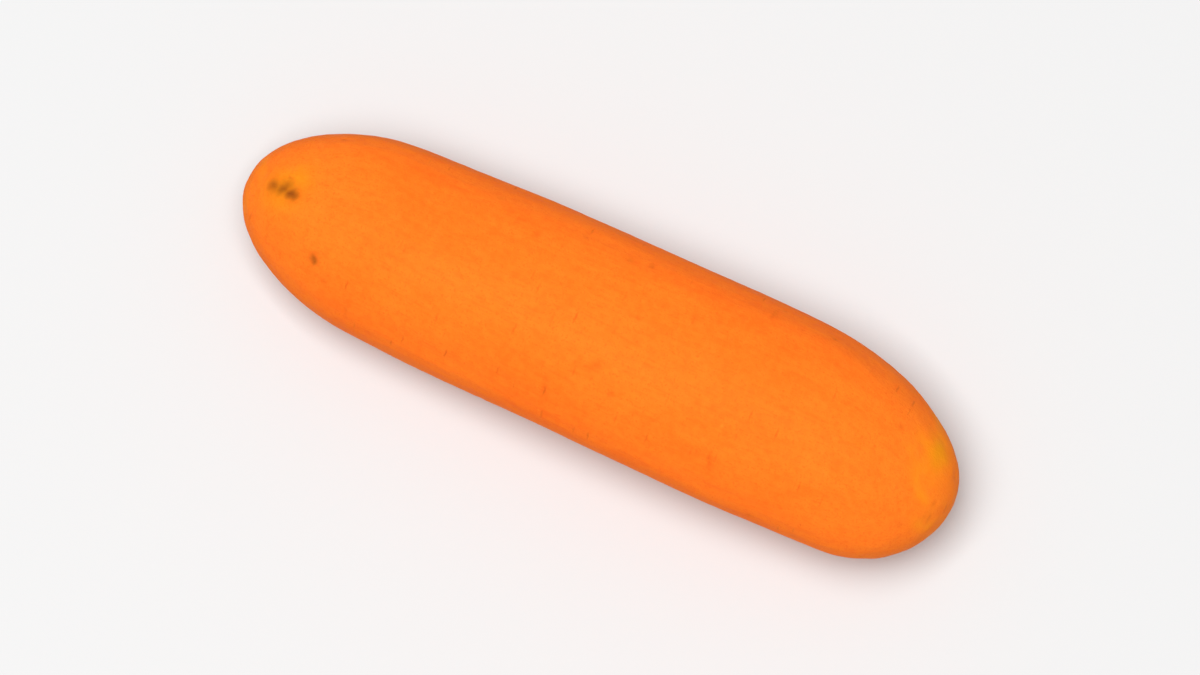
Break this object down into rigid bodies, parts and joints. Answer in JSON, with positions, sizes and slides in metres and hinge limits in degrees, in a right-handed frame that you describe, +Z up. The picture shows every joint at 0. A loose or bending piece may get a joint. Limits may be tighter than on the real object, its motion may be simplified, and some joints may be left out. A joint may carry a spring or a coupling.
{
  "type": "baby carrot",
  "caption": "Short peeled carrot, slightly tapered, with both ends rounded and a narrow flat to rest on.",
  "frame": {"origin": "on the surface that the carrot lies on, under the middle of its bounding box", "axes": "+X along the length, from the thin tail end to the thick crown end; +Z up, with the carrot lying on its side; +Y across it"},
  "size_m": [0.0522, 0.0144, 0.0137],
  "materials": {
    "carrot_flesh": "satin"
  },
  "bodies": {
    "root": {"carrot": "carrot_flesh"}
  },
  "joints": []
}
